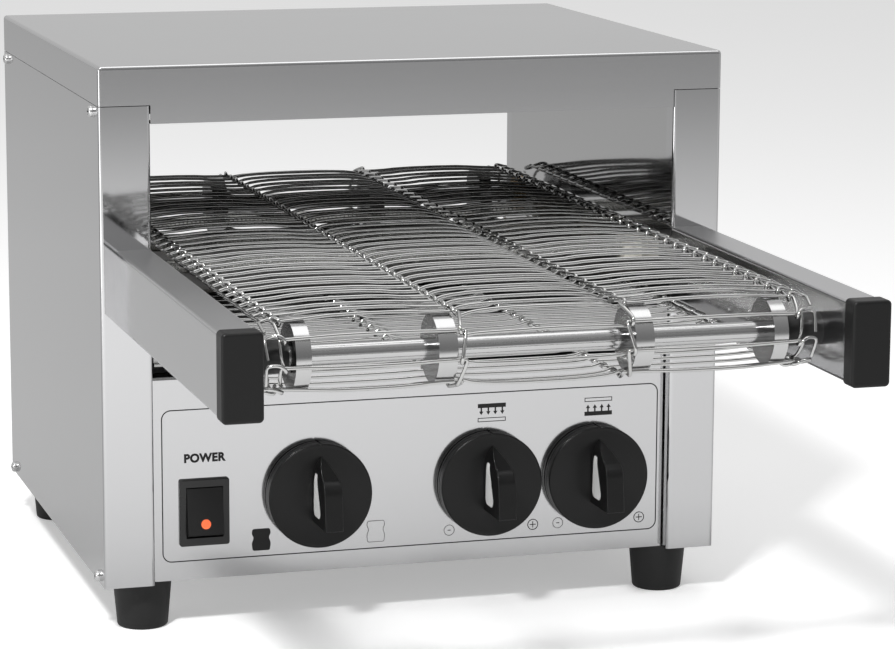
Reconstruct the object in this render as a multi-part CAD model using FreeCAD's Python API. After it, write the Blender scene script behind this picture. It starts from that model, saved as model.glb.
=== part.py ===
import FreeCAD, Part
import math
import os

# A countertop conveyor toaster: a stainless case with a tunnel from front to back, an endless wire belt
# that runs out in front between two rails, and a recessed control panel under it.
# Millimetres. +Z is up, the front faces -Y, and X is across. The origin is on the floor under the middle.

os.makedirs("parts", exist_ok=True)

# Case
body_width = 440.0
body_depth = 380.0
body_height = 355.0
foot_height = 34.0
sheet = 1.2                # stainless sheet of the outer case
bend = 2.5                 # outer radius of a folded corner
over = 5.0                 # how far a cutting tool runs past what it cuts
parallel_share = 0.999     # an edge runs along an axis where their cosine is above this
post_width = 35.0          # front and rear flange of a side panel
post_return = 14.0         # the flange's lip, folded back along the tunnel
hood_skirt = 26.5
fascia_drop = 12.5         # how far the fascia hangs below the skirt, between the posts
fascia_lip = 12.0
fascia_gap = 0.2
seam_gap = 0.5
tab_drop = 12.0            # inner tab of the hood, behind the side panel
tab_lap = 8.0
tab_inset = 8.0

# Rails in front of the case
rail_reach = 303.0
rail_width = 25.0
rail_height = 51.0
rail_base = 181.0          # above the underside of the case
rail_wall = 1.5
rail_corner = 2.5
cap_depth = 13.6
cap_proud = 1.6            # the cap stands this much above and below the rail
cap_side_proud = 0.2
cap_corner = 3.0
cap_edge = 2.0
plug_length = 18.0
plug_clearance = 0.3

# Belt and rollers
axis_height = 207.5        # roller axes above the underside of the case
idler_setback = 42.0       # from the rail's end to the front roller
drive_inset = 32.0         # from the back of the case to the drive roller
shaft_radius = 6.5
disc_radius = 20.9
outer_disc_width = 9.5
inner_disc_width = 12.0
outer_disc_inset = 24.3    # from the belt's edge to the middle of the outer disc
lane_share = 0.355         # the inner discs and the lines between lanes, as a share of the belt's half width
wire = 2.3
belt_clearance = 0.3       # between a disc's rim and the wires over it
belt_side_gap = 8.5        # from the belt's edge to the rail
edge_band = 10.0           # width of the belt's looped edge
lane_band = 5.0            # width of the line of Z bends between two lanes
run_windows = 33           # windows between strands along one run
turn_strands = 4           # strands on a half turn, evenly spaced
running = 0.05             # radial clearance of a shaft in its bearing
tooth_radius = 1.6
drive_teeth = 14
drive_disc_less = 0.2      # the drive discs are this much smaller in radius

# Tunnel and inner sheets
wall_sheet = 1.0
ceiling_drop = 18.0        # from the top of the case to the upper reflector
reflector_flange = 16.0
reflector_inset = 14.0
blanket_gap = 5.0
pan_flange = 15.0
panel_recess = 10.0
panel_height = 142.6
panel_gap = 1.0
panel_flange = 14.0
shelf_height = 151.0       # top of the plate over the controls, above the underside of the case
shelf_setback = 45.0
shelf_flange = 10.0
tray_height = 25.0
tray_length = 285.0
tray_inset = 1.0
tray_side_gap = 1.0
tray_clearance = 0.3
tray_hem = 2.4
chute_rise = 26.0          # the chute's upper edge above the plate over the controls
chute_gap = 6.0
chute_lip = 8.0

# Heating
tube_radius = 5.0
tube_wall = 1.0
upper_tubes = 4
lower_tubes = 3
tube_drop = 12.0           # from the upper reflector to the upper tubes' axes
lower_first = 70.0         # from the front of the case to the first lower tube
lower_last = 86.0          # from the last lower tube to the drive roller
holder_width = 20.0
holder_height = 16.0
holder_depth = 13.0
holder_clearance = 0.2
trough_margin = 26.0
trough_drop = 13.5         # from the lower tubes' axes to the lower reflector

# Drive
motor_inset = 90.0         # motor axis in front of the case's back, and its height
motor_height = 75.0
motor_can_radius = 28.0
motor_can_length = 72.0
gearbox_width = 70.0
gearbox_height = 88.0
gearbox_depth = 32.0
bracket_sheet = 3.0
bracket_margin = 8.0
motor_shaft_radius = 5.0
drive_sprocket_teeth = 20
motor_sprocket_teeth = 12
tooth_pitch = 7.54         # along the sprocket's tip circle
sprocket_width = 5.0
sprocket_offset = 15.0     # from the tunnel's inner face to the sprockets
sprocket_hub = 8.0
chain_thickness = 4.0
chain_clearance = 0.5
bush_radius = 10.0
bush_flange_radius = 13.0
bush_flange = 3.0
idler_bush_radius = 10.3
idler_bush_gap = 1.55      # from the outer disc to the end of the front bearing
shaft_end_gap = 0.5

# Controls: heights are above the underside of the case
# The panel's free width is shared out among the gaps to the left of the controls, and one at the right.
control_gap_shares = {"switch": 0.164, "speed": 0.223, "top_heat": 0.434, "bottom_heat": 0.046}
knob_height = 55.4
knob_radius = 36.7
knob_gap = 1.0             # between the panel and the knob's back
knob_back_ring = 3.0
knob_groove = 0.8
knob_disc = 6.4
knob_dome = 1.6
knob_edge = 1.2
knob_notch_radius = 0.9
grip_height = 36.6         # above the disc, at the grip's lower end
grip_half_width = 6.3
grip_bottom = 16.8         # the grip's lower end and its tip, from the knob's middle
grip_tip = 28.0
grip_shoulder = 12.0       # where the flanks start to close towards the tip
grip_brow = 14.5           # where the front starts to fall towards the tip, its height and rounding there
grip_brow_height = 33.0
grip_brow_radius = 12.0
grip_tip_height = 2.5
grip_edge = 0.8
inlay_depth = 0.8
inlay_bottom = 11.6
inlay_top = 18.1
inlay_wide = 10.2          # half of the inlay's width at its lower end, and at its upper end
inlay_narrow = 2.9
inlay_corner = 4.8
inlay_middle = 14.0        # height of the inlay's middle above the knob's disc, at its lower and upper end
inlay_top_middle = 8.8
inlay_clearance = 0.05
control_shaft_radius = 3.0
control_hole = 4.2
control_shaft_in_knob = 8.0
control_shaft_in_body = 12.0
regulator_size = (40.0, 26.0, 44.0)
bore_end_gap = 0.4

# Rocker switch
switch_height = 47.2
bezel_width = 34.8
bezel_height = 46.8
bezel_depth = 2.6
bezel_corner = 1.8
housing_margin = 2.2       # the housing is this much narrower than its bezel, each side
housing_depth = 26.0
rocker_width = 25.0
rocker_radius = 17.4
rocker_gap = 0.4
rocker_tilt = 20.0         # from one position to the other
rocker_sink = 0.4          # the pressed end lies this far behind the bezel's face
rocker_pivot = 4.0         # from that end's face to the pins' axis, and from there to the back
rocker_back = 5.0
rocker_back_gap = 7.0
pin_radius = 1.5
pin_length = 1.2
pin_shake = 0.2
lens_radius = 3.4
lens_depth = 1.2
lens_clearance = 0.05
lens_height = 7.4          # below the rocker's middle

# Feet, fasteners and inlet
foot_inset_x = 31.5
foot_inset_y = 29.0
foot_top_radius = 20.4
foot_bottom_radius = 17.4
foot_edge = 2.0
foot_screw_radius = 2.5
foot_head_radius = 5.0
foot_head_height = 4.0
foot_web = 10.0            # rubber between the screw's head and the case
screw_clearance = 0.2      # round a screw in the hole of a fixed piece
free_clearance = 0.5       # round a turning shaft where nothing carries it
screw_radius = 2.0
screw_hole = 2.2
screw_head_radius = 4.0
screw_head_height = 3.4
screw_round_share = 0.6    # rounding of the head's rim, of its height
recess_arm_share = 0.6     # the driver's cross: its arms and their half width, of the head's radius
recess_blade_share = 0.12
screw_length = 8.0
screw_inset = 19.0
screw_below_seam = 5.0
screw_above_bottom = 5.0
bolt_radius = 2.5
bolt_head_radius = 4.4
bolt_head_height = 3.0
bolt_length = 12.0
bolt_spread = 30.0
bolt_hole = 2.7
gland_radius = 9.0
gland_nut_radius = 12.0
gland_reach = 8.0
gland_bore = 4.0
gland_inset = 55.0         # from the side of the tunnel
gland_height = 40.0
terminal_size = (50.0, 22.0, 20.0)
terminal_poles = 5
slot_width = 4.0
slot_length = 40.0
slot_pitch = 11.0
slots = 14
louvre_height = 90.0
pan_slot_y = 190.0         # middle of the pan's slots, behind the front of the case

# Places worked out from the sizes
half_width = body_width / 2
tunnel_half = half_width - post_width
z_bottom = foot_height
z_top = z_bottom + body_height
z_seam = z_top - hood_skirt
z_fascia = z_seam - fascia_drop
z_axis = z_bottom + axis_height
z_shelf = z_bottom + shelf_height
z_reflector = z_top - ceiling_drop
total_depth = body_depth + rail_reach + cap_depth
y_rear = total_depth / 2
y_front = y_rear - body_depth
y_rail_end = y_front - rail_reach
y_idler = y_rail_end + idler_setback
y_drive = y_rear - drive_inset
y_panel = y_front + panel_recess
y_rear_panel = y_rear - panel_recess
rail_z = (z_bottom + rail_base, z_bottom + rail_base + rail_height)
belt_half_width = tunnel_half - belt_side_gap
outer_disc_x = belt_half_width - outer_disc_inset
inner_disc_x = belt_half_width * lane_share
idler_bush_length = tunnel_half - outer_disc_x - outer_disc_width / 2 - idler_bush_gap
run_offset = disc_radius + belt_clearance
disc_places = (-outer_disc_x, -inner_disc_x, inner_disc_x, outer_disc_x)
disc_widths = (outer_disc_width, inner_disc_width, inner_disc_width, outer_disc_width)
y_disc_face = y_panel - knob_gap - knob_back_ring - knob_groove - knob_disc
z_knob = z_bottom + knob_height
gland_x = gland_inset - tunnel_half
control_widths = {name: 2 * knob_radius for name in control_gap_shares}
control_widths["switch"] = bezel_width
panel_free = 2 * tunnel_half - sum(control_widths.values())
knob_x = {}
edge_x = -tunnel_half
for control, share in control_gap_shares.items():
    knob_x[control] = edge_x + share * panel_free + control_widths[control] / 2
    edge_x = knob_x[control] + control_widths[control] / 2
switch_x = knob_x.pop("switch")
X, Y, Z = (1, 0, 0), (0, 1, 0), (0, 0, 1)


def vector(x, y, z):
    return FreeCAD.Vector(x, y, z)


def box(x, y, z):
    """A block between pairs of limits along X, Y and Z."""
    return Part.makeBox(x[1] - x[0], y[1] - y[0], z[1] - z[0], vector(x[0], y[0], z[0]))


def rod(radius, start, axis, length):
    return Part.makeCylinder(radius, length, vector(*start), vector(*axis))


def tube(outer, inner, start, axis, length):
    """A round tube whose bore runs right through."""
    before = [s - over * a for s, a in zip(start, axis)]
    return rod(outer, start, axis, length).cut(rod(inner, before, axis, length + 2 * over))


def rounded(shape, radius, axis, chosen=lambda middle: True):
    """The shape with its straight edges along an axis rounded, where chosen(middle of the edge) holds."""
    picked = []
    for edge in shape.Edges:
        first, last = edge.Vertexes[0].Point, edge.Vertexes[-1].Point
        along = last - first
        if along.Length > 0 and abs(along.normalize().dot(vector(*axis))) > parallel_share:
            if chosen((first + last) * 0.5):
                picked.append(edge)
    return shape.makeFillet(radius, picked)


def outline(points, axis, length):
    """A prism: a closed outline of straight sides, pushed along an axis."""
    face = Part.Face(Part.makePolygon([vector(*p) for p in points] + [vector(*points[0])]))
    return face.extrude(vector(*axis) * length)


def mirrored(shape):
    return shape.mirror(vector(0, 0, 0), vector(*X))


def both_sides(shape):
    return Part.makeCompound([shape, mirrored(shape)])


def save(name, shape):
    shape.exportStep("parts/" + name + ".step")


def hood():
    """The top cover: a tray upside down, with a deeper fascia between the posts at the front and back."""
    outer = box((-half_width, half_width), (y_front, y_rear), (z_seam, z_top))
    outer = rounded(outer, bend, Z)
    outer = outer.makeFillet(bend, [e for e in outer.Edges if e.BoundBox.ZMin > z_top - sheet])
    hollow = box((-half_width + sheet, half_width - sheet), (y_front + sheet, y_rear - sheet),
                 (z_seam - over, z_top - sheet))
    hollow = rounded(hollow, bend - sheet, Z)
    shell = outer.cut(hollow)
    span = (-tunnel_half + fascia_gap, tunnel_half - fascia_gap)
    for face, lip in (((y_front, y_front + sheet), (y_front, y_front + fascia_lip)),
                      ((y_rear - sheet, y_rear), (y_rear - fascia_lip, y_rear))):
        shell = shell.fuse(box(span, face, (z_fascia, z_seam)))
        shell = shell.fuse(box(span, lip, (z_fascia, z_fascia + sheet)))
    tab = box((half_width - 2 * sheet, half_width - sheet), (y_front + tab_inset, y_rear - tab_inset),
              (z_seam - tab_drop, z_seam + tab_lap))
    shell = shell.fuse([tab, mirrored(tab)])
    return drilled(shell.removeSplitter(), z_seam - screw_below_seam)


def drilled(shape, height):
    """Holes through both sides of the case for the four screws at one height."""
    for y in (y_front + screw_inset, y_rear - screw_inset):
        shape = shape.cut(rod(screw_hole, (-half_width - over, y, height), X, body_width + 2 * over))
    return shape


def side_panel():
    """The right side: a sheet with a wide flange at the front and back, each with a lip along the tunnel."""
    top = z_seam - seam_gap
    outer = rounded(box((tunnel_half, half_width), (y_front, y_rear), (z_bottom, top)), bend, Z)
    hollow = box((tunnel_half + sheet, half_width - sheet), (y_front + sheet, y_rear - sheet),
                 (z_bottom - over, top + over))
    hollow = rounded(hollow, bend - sheet, Z)
    mouth = box((tunnel_half - over, tunnel_half + bend), (y_front + post_return, y_rear - post_return),
                (z_bottom - over, top + over))
    panel = outer.cut(hollow).cut(mouth)
    for height in (z_seam - screw_below_seam, z_bottom + screw_above_bottom):
        panel = drilled(panel, height)
    for x, z in rail_bolt_places():
        panel = panel.cut(rod(bolt_hole, (x, y_front - over, z), Y, 2 * over))
    return panel


def rail_bolt_places():
    middle = (rail_z[0] + rail_z[1]) / 2
    return [(tunnel_half + rail_width / 2, middle + side * bolt_spread / 2) for side in (-1, 1)]


def inner_wall(drive_side):
    """One polished side of the tunnel. The drive side also lets the motor's shaft through."""
    wall = box((tunnel_half, tunnel_half + wall_sheet), (y_front + post_return, y_rear - post_return),
               (z_bottom + sheet, z_reflector))
    before = tunnel_half - over
    wall = wall.cut(rod(bush_radius + running, (before, y_drive, z_axis), X, 2 * over + wall_sheet))
    if drive_side:
        hole = motor_shaft_radius + free_clearance
        wall = wall.cut(rod(hole, (before, y_rear - motor_inset, z_bottom + motor_height), X,
                            2 * over + wall_sheet))
        return wall
    return mirrored(wall)


def slot_row(y, z, y_half, z_half):
    """A row of slots across the case, to be cut out of a plate: its middle, and half sizes along Y and Z."""
    row = []
    for number in range(slots):
        x = (number - (slots - 1) / 2) * slot_pitch
        row.append(box((x - slot_width / 2, x + slot_width / 2), (y - y_half, y + y_half),
                       (z - z_half, z + z_half)))
    return row


def foot_places():
    return [(x, y) for x in (-half_width + foot_inset_x, half_width - foot_inset_x)
            for y in (y_front + foot_inset_y, y_rear - foot_inset_y)]


def base_pan():
    """The bottom plate, with a flange up each side, notched corners and slots for cool air."""
    across = half_width - sheet
    y = (y_panel + sheet, y_rear_panel - sheet)
    pan = box((-across, across), y, (z_bottom, z_bottom + sheet))
    flange = box((across - sheet, across), y, (z_bottom, z_bottom + pan_flange))
    pan = pan.fuse([flange, mirrored(flange)]).removeSplitter()
    for edge, inward in ((y_front, 1), (y_rear, -1)):
        notch = box((tunnel_half - seam_gap, half_width + over),
                    sorted((edge, edge + inward * (post_return + seam_gap))),
                    (z_bottom - over, z_bottom + pan_flange + over))
        pan = pan.cut([notch, mirrored(notch)])
    pan = pan.cut(slot_row(y_front + pan_slot_y, z_bottom, slot_length / 2, over))
    for x, place in foot_places():
        pan = pan.cut(rod(foot_screw_radius + screw_clearance, (x, place, z_bottom - over), Z, 2 * over))
    return drilled(pan, z_bottom + screw_above_bottom)


def lower_panel(front):
    """The plate in front of the controls, or the one at the back: its top is folded inwards."""
    face = y_panel if front else y_rear_panel
    inward = 1 if front else -1
    x = (-tunnel_half + panel_gap, tunnel_half - panel_gap)
    top = z_bottom + panel_height
    plate = box(x, sorted((face, face + inward * panel_flange)), (z_bottom, top))
    plate = rounded(plate, bend, X, lambda m: m.z > top - sheet and abs(m.y - face) < sheet)
    behind = box((x[0] - over, x[1] + over),
                 sorted((face + inward * sheet, face + inward * (panel_flange + over))),
                 (z_bottom - over, top - sheet))
    return plate.cut(behind)


def control_panel():
    panel = lower_panel(True)
    for x in knob_x.values():
        panel = panel.cut(rod(control_hole, (x, y_panel - over, z_knob), Y, 2 * over))
    return panel.cut(switch_housing_block(y_panel - over, y_panel + 2 * over))


def rear_panel():
    panel = lower_panel(False)
    panel = panel.cut(slot_row(y_rear_panel, z_bottom + louvre_height, over, slot_length / 2))
    return panel.cut(rod(gland_radius, (gland_x, y_rear_panel - over, z_bottom + gland_height), Y, 2 * over))


def compartment_top():
    """The plate over the controls that carries the crumb tray, with a flange down each side."""
    y = (y_front + shelf_setback, y_rear_panel - panel_flange)
    plate = box((-tunnel_half, tunnel_half), y, (z_shelf - wall_sheet, z_shelf))
    flange = box((tunnel_half - wall_sheet, tunnel_half), y, (z_shelf - shelf_flange, z_shelf))
    return plate.fuse([flange, mirrored(flange)]).removeSplitter()


def crumb_tray():
    """An open drawer under the belt: a floor sheet in a folded rim. A hem along its front is the pull."""
    across = tunnel_half - tray_side_gap
    y = (y_front + tray_inset + tray_hem, y_front + tray_inset + tray_length)
    z = (z_shelf + tray_clearance, z_shelf + tray_clearance + tray_height)
    inside_x, inside_y = (-across + wall_sheet, across - wall_sheet), (y[0] + wall_sheet, y[1] - wall_sheet)
    rim = box((-across, across), y, z).cut(box(inside_x, inside_y, (z[0] - over, z[1] + over)))
    floor_sheet = box(inside_x, inside_y, (z[0], z[0] + wall_sheet))
    hem = box((-across, across), (y[0] - tray_hem, y[0]), (z[0], z[0] + tray_hem))
    hem = rounded(hem, tray_hem / 3, X, lambda m: m.y < y[0] - tray_hem / 2)
    return Part.makeCompound([rim.fuse(hem).removeSplitter(), floor_sheet])


def exit_chute():
    """A bent sheet under the back of the belt that sends the toast out over the rear panel."""
    y_start = y_front + tray_inset + tray_length + chute_gap
    y_fold = y_rear_panel - panel_flange
    z_low = z_shelf + wall_sheet
    points = [(y_start, z_low + chute_rise), (y_fold, z_low), (y_rear - chute_lip / 2, z_low)]
    lower = [(y, z - wall_sheet) for y, z in reversed(points)]
    sheet_points = [(-tunnel_half, y, z) for y, z in points + lower]
    return outline(sheet_points, X, 2 * tunnel_half)


def upper_reflector():
    """The tunnel's ceiling: a plate with a flange down at the front and back."""
    y = (y_front + reflector_inset, y_rear - reflector_inset)
    plate = box((-tunnel_half, tunnel_half), y, (z_reflector - wall_sheet, z_reflector))
    front = box((-tunnel_half, tunnel_half), (y[0], y[0] + wall_sheet),
                (z_reflector - reflector_flange, z_reflector))
    back = box((-tunnel_half, tunnel_half), (y[1] - wall_sheet, y[1]),
               (z_reflector - reflector_flange, z_reflector))
    return plate.fuse([front, back]).removeSplitter()


def insulation_blanket():
    return box((-tunnel_half + blanket_gap, tunnel_half - blanket_gap),
               (y_front + reflector_inset, y_rear - reflector_inset), (z_reflector, z_top - sheet))


def upper_tube_places():
    length = body_depth - 2 * reflector_inset
    pitch = length / upper_tubes
    first = y_front + reflector_inset + pitch / 2
    return [(first + number * pitch, z_reflector - tube_drop) for number in range(upper_tubes)]


def lower_tube_places():
    first, last = y_front + lower_first, y_drive - lower_last
    pitch = (last - first) / (lower_tubes - 1)
    return [(first + number * pitch, z_axis) for number in range(lower_tubes)]


def heating_tubes(places):
    """Quartz tubes across the tunnel, between their ceramic holders."""
    end = tunnel_half - holder_depth / 2
    return Part.makeCompound([tube(tube_radius, tube_radius - tube_wall, (-end, y, z), X, 2 * end)
                              for y, z in places])


def tube_holders(places):
    """A ceramic block at each end of each tube, seated on the tunnel's side."""
    blocks = []
    for y, z in places:
        block = box((tunnel_half - holder_depth, tunnel_half), (y - holder_width / 2, y + holder_width / 2),
                    (z - holder_height / 2, z + holder_height / 2))
        seat = rod(tube_radius + holder_clearance, (tunnel_half - holder_depth - over, y, z), X,
                   over + holder_depth / 2 + holder_clearance)
        block = block.cut(seat)
        blocks += [block, mirrored(block)]
    return Part.makeCompound(blocks)


def lower_reflector():
    """A shallow trough under the lower tubes, between the two runs of the belt."""
    places = lower_tube_places()
    y = (places[0][0] - trough_margin, places[-1][0] + trough_margin)
    z = z_axis - trough_drop
    trough = box((-tunnel_half, tunnel_half), y, (z - wall_sheet, z + wall_sheet))
    inside = box((-tunnel_half - over, tunnel_half + over), (y[0] + wall_sheet, y[1] - wall_sheet),
                 (z, z + over))
    return trough.cut(inside)


def rail():
    """The right rail: a square tube bolted to the post, its inner face flush with the tunnel's."""
    x = (tunnel_half, tunnel_half + rail_width)
    outer = rounded(box(x, (y_rail_end, y_front), rail_z), rail_corner, Y)
    inner = box((x[0] + rail_wall, x[1] - rail_wall), (y_rail_end - over, y_front - rail_wall),
                (rail_z[0] + rail_wall, rail_z[1] - rail_wall))
    tube_body = outer.cut(rounded(inner, rail_corner - rail_wall, Y))
    for place_x, z in rail_bolt_places():
        tube_body = tube_body.cut(rod(bolt_hole, (place_x, y_front - 2 * over, z), Y, 3 * over))
    return tube_body


def rail_cap():
    """A moulded end cap: a flange over the rail's end, and a plug inside it."""
    x = (tunnel_half - cap_side_proud, tunnel_half + rail_width + cap_side_proud)
    z = (rail_z[0] - cap_proud, rail_z[1] + cap_proud)
    flange = box(x, (y_rail_end - cap_depth, y_rail_end), z)
    flange = rounded(flange, cap_corner, Y)
    front = [e for e in flange.Edges if e.BoundBox.YMax < y_rail_end - cap_depth / 2]
    flange = flange.makeFillet(cap_edge, front)
    inset = rail_wall + plug_clearance
    plug = box((tunnel_half + inset, tunnel_half + rail_width - inset),
               (y_rail_end, y_rail_end + plug_length), (rail_z[0] + inset, rail_z[1] - inset))
    return flange.fuse(rounded(plug, rail_corner - rail_wall, Y)).removeSplitter()


def bolt(radius, head_radius, head_height, length, seat, axis):
    """A fastener whose head sits on a seat, with its shank along the axis."""
    head_start = [s - head_height * a for s, a in zip(seat, axis)]
    head = rod(head_radius, head_start, axis, head_height)
    return head.fuse(rod(radius, seat, axis, length)).removeSplitter()


def rail_bolts():
    shapes = []
    for x, z in rail_bolt_places():
        seat = (x, y_front + sheet, z)
        one = bolt(bolt_radius, bolt_head_radius, bolt_head_height, bolt_length, seat, (0, -1, 0))
        shapes += [one, mirrored(one)]
    return Part.makeCompound(shapes)


def cross_recess(screw, seat, outward):
    """Cuts the driver's cross into a pan head."""
    depth = screw_head_height / 2
    top = [s + (screw_head_height + over) * a for s, a in zip(seat, outward)]
    bottom = [s + (screw_head_height - depth) * a for s, a in zip(seat, outward)]
    arm, blade = screw_head_radius * recess_arm_share, screw_head_radius * recess_blade_share
    sides = [axis for axis in (X, Y, Z) if abs(sum(a * b for a, b in zip(axis, outward))) == 0]
    for long_side, short_side in (sides, sides[::-1]):
        low = [min(a, b) - arm * l - blade * s for a, b, l, s in zip(top, bottom, long_side, short_side)]
        high = [max(a, b) + arm * l + blade * s for a, b, l, s in zip(top, bottom, long_side, short_side)]
        screw = screw.cut(box(*zip(low, high)))
    return screw


def case_screw(seat, inward):
    """A pan head screw with a rounded head and a cross recess."""
    one = bolt(screw_radius, screw_head_radius, screw_head_height, screw_length, seat, inward)
    outward = tuple(-a for a in inward)
    rim = vector(*seat) + vector(*outward) * screw_head_height
    edges = [e for e in one.Edges if (e.CenterOfMass - rim).Length < screw_head_height / 2]
    one = one.makeFillet(screw_head_height * screw_round_share, edges)
    return cross_recess(one, seat, outward)


def case_screws():
    shapes = []
    for y in (y_front + screw_inset, y_rear - screw_inset):
        for z in (z_seam - screw_below_seam, z_bottom + screw_above_bottom):
            shapes.append(case_screw((half_width, y, z), (-1, 0, 0)))
            shapes.append(mirrored(shapes[-1]))
    return Part.makeCompound(shapes)


def feet():
    shapes = []
    for x, y in foot_places():
        foot = Part.makeCone(foot_bottom_radius, foot_top_radius, foot_height, vector(x, y, 0), vector(*Z))
        lower = [e for e in foot.Edges if e.BoundBox.ZMax < foot_edge and e.BoundBox.XLength > foot_edge]
        foot = foot.makeFillet(foot_edge, lower)
        foot = foot.cut(rod(foot_head_radius + screw_clearance, (x, y, -over), Z,
                            over + foot_height - foot_web))
        foot = foot.cut(rod(foot_screw_radius + screw_clearance, (x, y, 0), Z, foot_height + over))
        shapes.append(foot)
    return Part.makeCompound(shapes)


def foot_screws():
    length = foot_web + sheet + foot_head_height
    return Part.makeCompound([bolt(foot_screw_radius, foot_head_radius, foot_head_height, length,
                                   (x, y, foot_height - foot_web), Z) for x, y in foot_places()])


def belt_gaps(y, z):
    """The gaps of one straight run: three lanes of long openings between the strands."""
    pitch = (y[1] - y[0]) / run_windows
    gaps = []
    for lane in lanes():
        for number in range(run_windows):
            start = y[0] + number * pitch
            gaps.append(box(lane, (start + wire / 2, start + pitch - wire / 2), (z - over, z + over)))
    return gaps


def lanes():
    """Limits across of the three open lanes between the looped edges and the lines of Z bends."""
    lines = [-belt_half_width + edge_band / 2, -inner_disc_x, inner_disc_x, belt_half_width - edge_band / 2]
    bands = [edge_band, lane_band, lane_band, edge_band]
    return [(lines[i] + bands[i] / 2, lines[i + 1] - bands[i + 1] / 2) for i in range(len(lines) - 1)]


def belt_run(upper):
    """A straight run of the belt: one sheet of wire thickness with a hole for each gap."""
    low = z_axis + run_offset if upper else z_axis - run_offset - wire
    y = (y_idler, y_drive)
    web = box((-belt_half_width, belt_half_width), y, (low, low + wire))
    return web.cut(belt_gaps(y, low))


def belt_turn(front):
    """A half turn of the belt round a roller's discs, with windows between its strands."""
    y_centre = y_idler if front else y_drive
    outward = -1 if front else 1
    outer = run_offset + wire
    ring = tube(outer, run_offset, (-belt_half_width, y_centre, z_axis), X, 2 * belt_half_width)
    reach = outer + over
    half = box((-belt_half_width - over, belt_half_width + over),
               sorted((y_centre, y_centre + outward * reach)), (z_axis - reach, z_axis + reach))
    ring = ring.common(half)
    step = math.pi / turn_strands
    trim = math.asin(wire / 2 / run_offset)
    cutters = []
    for number in range(turn_strands):
        first = -math.pi / 2 + number * step + trim
        last = first + step - 2 * trim
        corners = [(0, 0)] + [(outward * reach * 2 * math.cos(a), reach * 2 * math.sin(a))
                              for a in (first, (first + last) / 2, last)]
        for lane in lanes():
            points = [(lane[0], y_centre + y, z_axis + z) for y, z in corners]
            cutters.append(outline(points, X, lane[1] - lane[0]))
    return ring.cut(cutters)


def discs(y, toothed):
    """Four discs on a roller's shaft. The drive roller's have notches that catch the strands."""
    shapes = []
    radius = disc_radius - (drive_disc_less if toothed else 0)
    for x, width in zip(disc_places, disc_widths):
        disc = tube(radius, shaft_radius, (x - width / 2, y, z_axis), X, width)
        if toothed:
            for number in range(drive_teeth):
                angle = 2 * math.pi * number / drive_teeth
                tip_y, tip_z = radius * math.cos(angle), radius * math.sin(angle)
                notch = (x - width / 2 - over, y + tip_y, z_axis + tip_z)
                disc = disc.cut(rod(tooth_radius, notch, X, width + 2 * over))
        shapes.append(disc)
    return Part.makeCompound(shapes)


def idler_shaft():
    end = tunnel_half - shaft_end_gap
    return rod(shaft_radius, (-end, y_idler, z_axis), X, 2 * end)


def idler_bearings():
    """A sleeve on each rail that carries the end of the front shaft."""
    start = (tunnel_half - idler_bush_length, y_idler, z_axis)
    return both_sides(tube(idler_bush_radius, shaft_radius + running, start, X, idler_bush_length))


def sprocket_x():
    return tunnel_half + sprocket_offset


def drive_shaft():
    left = -tunnel_half - wall_sheet - bush_flange
    right = sprocket_x() + sprocket_width + sprocket_hub / 2
    return rod(shaft_radius, (left, y_drive, z_axis), X, right - left)


def drive_bearings():
    """A flanged bush in each side of the tunnel."""
    hub = tube(bush_radius, shaft_radius + running, (tunnel_half - bush_flange, y_drive, z_axis), X,
               2 * bush_flange + wall_sheet)
    flange = tube(bush_flange_radius, shaft_radius + running, (tunnel_half - bush_flange, y_drive, z_axis),
                  X, bush_flange)
    return both_sides(hub.fuse(flange).removeSplitter())


def sprocket(teeth, bore, y, z):
    """A toothed wheel and its hub. Its tip radius follows from the teeth and their pitch."""
    tip = teeth * tooth_pitch / (2 * math.pi)
    wheel = rod(tip, (sprocket_x(), y, z), X, sprocket_width)
    for number in range(teeth):
        angle = 2 * math.pi * number / teeth
        place = (sprocket_x() - over, y + tip * math.cos(angle), z + tip * math.sin(angle))
        wheel = wheel.cut(rod(tooth_pitch / 4, place, X, sprocket_width + 2 * over))
    hub = rod(bore + chain_thickness, (sprocket_x() - sprocket_hub / 2, y, z), X,
              sprocket_width + sprocket_hub)
    return wheel.fuse(hub).cut(rod(bore, (sprocket_x() - 2 * over, y, z), X, 6 * over))


def loop(first, first_radius, second, second_radius):
    """A solid between two round ends joined by their common tangents, as thick as a sprocket."""
    x = sprocket_x()
    across, up = second[0] - first[0], second[1] - first[1]
    distance = math.hypot(across, up)
    heading = math.atan2(up, across)
    lean = math.acos((first_radius - second_radius) / distance)
    corners = []
    for (y, z), radius, side in ((first, first_radius, 1), (second, second_radius, 1),
                                 (second, second_radius, -1), (first, first_radius, -1)):
        angle = heading + side * lean
        corners.append((x, y + radius * math.cos(angle), z + radius * math.sin(angle)))
    middle = outline(corners, X, sprocket_width)
    ends = [rod(radius, (x, y, z), X, sprocket_width)
            for (y, z), radius in ((first, first_radius), (second, second_radius))]
    return middle.fuse(ends).removeSplitter()


def drive_chain():
    """The chain as one band round both sprockets, just clear of their teeth."""
    motor = (y_rear - motor_inset, z_bottom + motor_height)
    roller = (y_drive, z_axis)
    small = motor_sprocket_teeth * tooth_pitch / (2 * math.pi) + chain_clearance
    large = drive_sprocket_teeth * tooth_pitch / (2 * math.pi) + chain_clearance
    outer = loop(motor, small + chain_thickness, roller, large + chain_thickness)
    return outer.cut(loop(motor, small, roller, large))


def gearbox_limits():
    y, z = y_rear - motor_inset, z_bottom + motor_height
    right = tunnel_half - bracket_sheet
    return ((right - gearbox_depth, right), (y - gearbox_width / 2, y + gearbox_width / 2),
            (z - gearbox_height / 2, z + gearbox_height / 2))


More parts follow.
